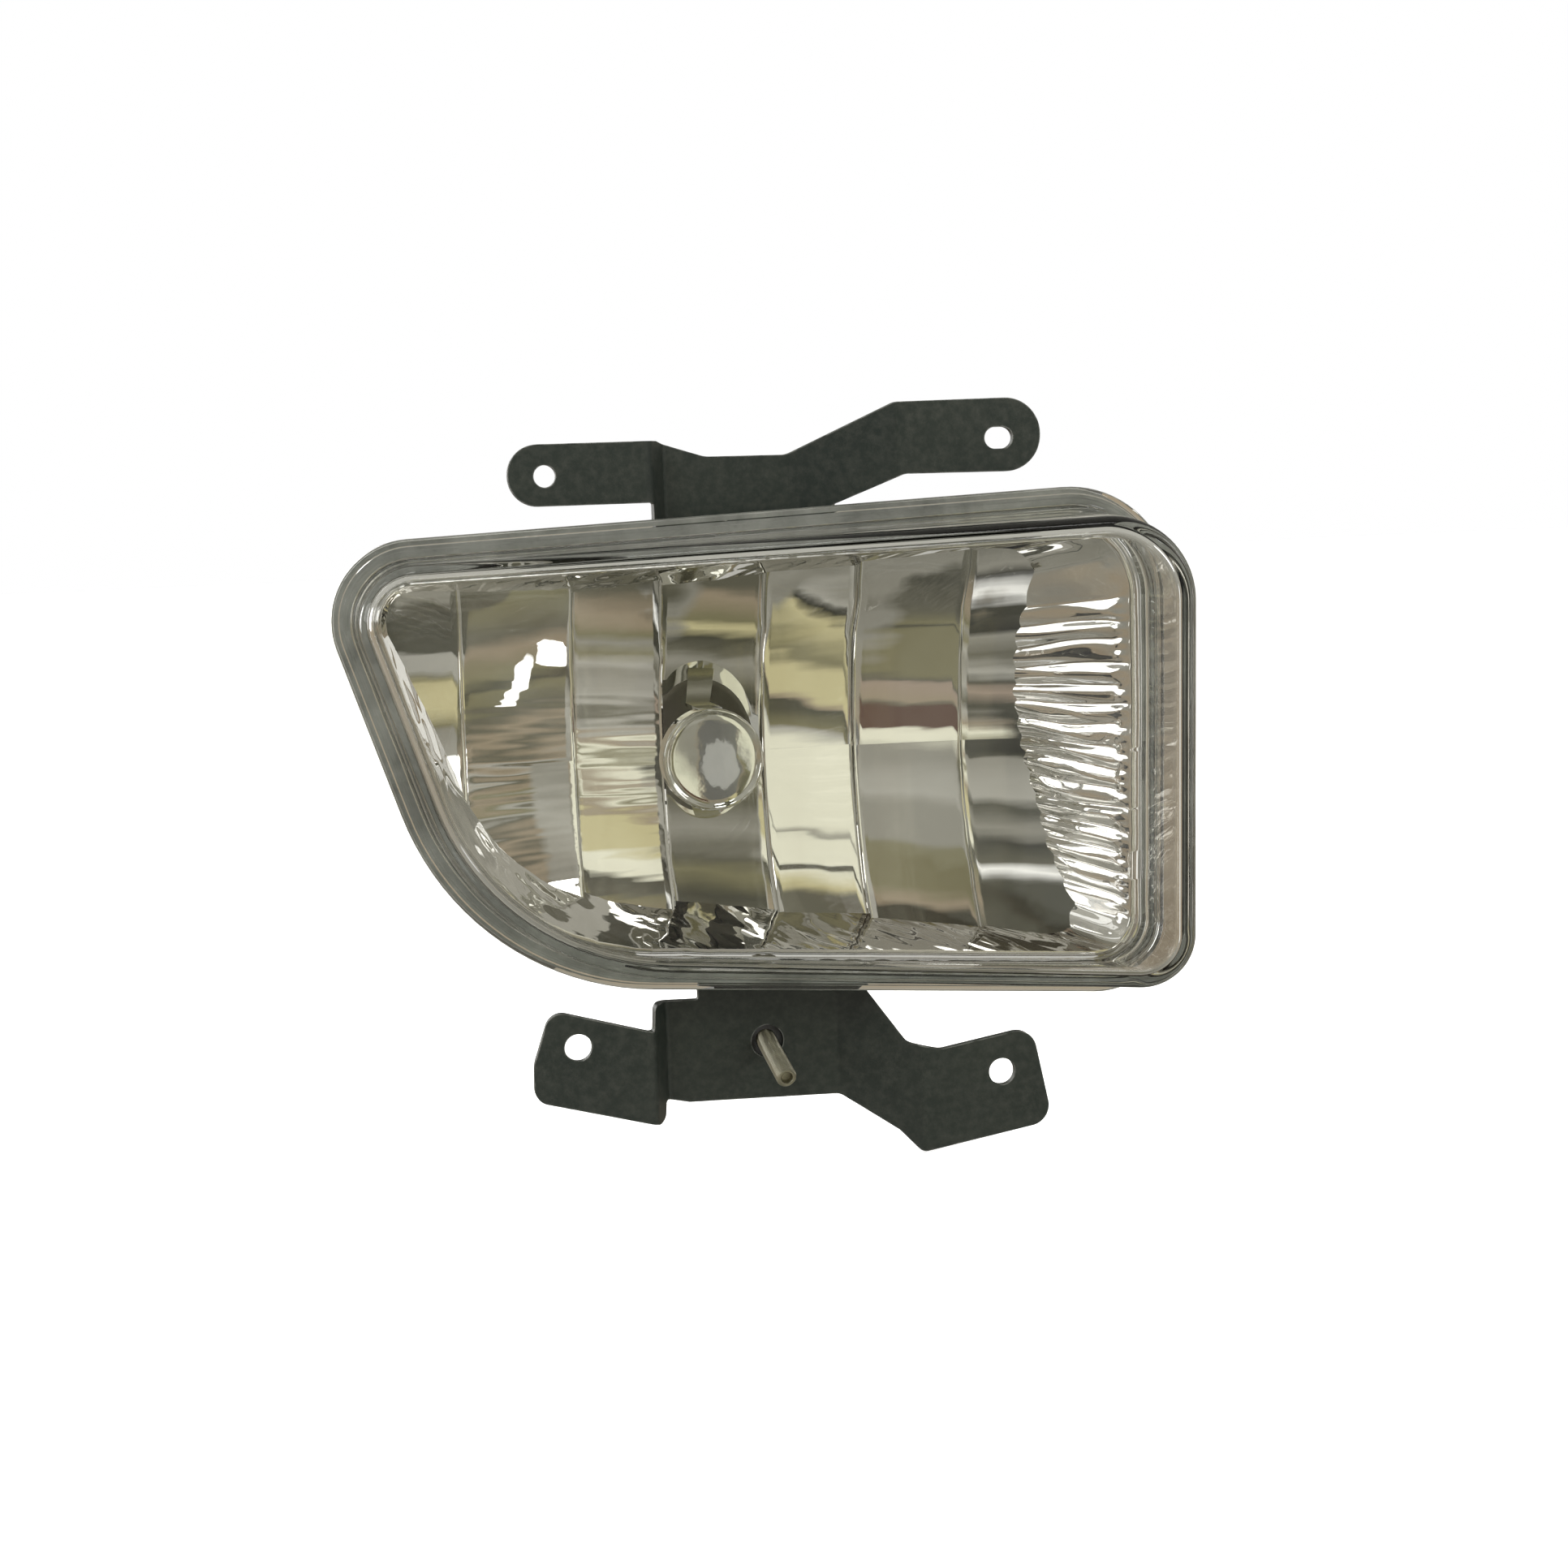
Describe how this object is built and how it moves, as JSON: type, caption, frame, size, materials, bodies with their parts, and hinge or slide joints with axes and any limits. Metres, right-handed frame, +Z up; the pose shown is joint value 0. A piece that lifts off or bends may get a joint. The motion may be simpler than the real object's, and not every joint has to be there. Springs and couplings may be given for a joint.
{
  "type": "fog light",
  "caption": "Wedge-shaped front fog light: clear glass lens over a faceted mirror bowl, on two joggled steel brackets with an aiming screw and a twist-out bulb.",
  "frame": {"origin": "midway between the lower bracket's two fixing holes, on the bracket's rear mounting face", "axes": "+X to the right seen from the front, towards the lamp's square end; +Y rearwards, the lens faces -Y; +Z up"},
  "size_m": [0.202, 0.1165, 0.1829],
  "materials": {
    "lens_glass": "clear pressed glass, polished",
    "sealant": "dull butyl bead",
    "housing_plastic": "moulded, fine texture",
    "cap_rubber": "satin",
    "mirror_coat": "vacuum-metallised, bright",
    "bright_steel": "bright drawn steel",
    "bulb_quartz": "clear",
    "tungsten": "drawn wire",
    "lead_wire": "drawn wire",
    "holder_plastic": "moulded, satin",
    "seal_silicone": "satin silicone",
    "tinned_brass": "tin plated",
    "bracket_paint": "satin black electro-coat",
    "zinc": "zinc plated, slightly dulled",
    "bush_nylon": "natural nylon"
  },
  "bodies": {
    "brackets": {"upper_bracket": "bracket_paint", "pivot_yoke": "bracket_paint", "pivot_pin": "zinc", "pivot_nut": "zinc", "lower_bracket": "bracket_paint", "aim_nut": "holder_plastic"},
    "lamp": {"lens": "lens_glass", "lens_seal": "sealant", "housing": "housing_plastic", "breather_cap": "cap_rubber", "reflector": "mirror_coat", "reflector_screws": "zinc", "bulb_shield": "bright_steel", "pivot_bush": "bush_nylon"},
    "bulb": {"bulb_glass": "bulb_quartz", "filament": "tungsten", "filament_supports": "lead_wire", "bulb_base": "bright_steel", "bulb_holder": "holder_plastic", "bulb_seal": "seal_silicone", "terminals": "tinned_brass"},
    "screw_end": {"screw_cup": "bush_nylon"},
    "adjuster": {"aim_screw": "zinc"}
  },
  "joints": [
    {"name": "lamp_tilt", "type": "hinge", "parent": "brackets", "child": "lamp", "pos_m": [-0.00085, 0.02, 0.13415], "axis": [1, 0, 0], "range_deg": [-2.5, 2.5]},
    {"name": "screw_travel", "type": "slide", "parent": "brackets", "child": "screw_end", "axis": [0, 0.9848, 0.1736], "range_m": [-0.0058, 0.0058]},
    {"name": "screw_spin", "type": "hinge", "parent": "screw_end", "child": "adjuster", "pos_m": [-0.00465, 0.009, 0.00335], "axis": [0, 0.9848, 0.1736], "range_deg": [-2600, 2600]},
    {"name": "bulb_twist", "type": "hinge", "parent": "lamp", "child": "bulb", "pos_m": [-0.01485, 0.045, 0.07315], "axis": [0, 1, 0], "range_deg": [0, 40]}
  ],
  "couplings": [
    {"joint": "screw_travel", "follows": "lamp_tilt", "m_per_rad": 0.1269},
    {"joint": "screw_spin", "follows": "lamp_tilt", "ratio": 996.69}
  ]
}
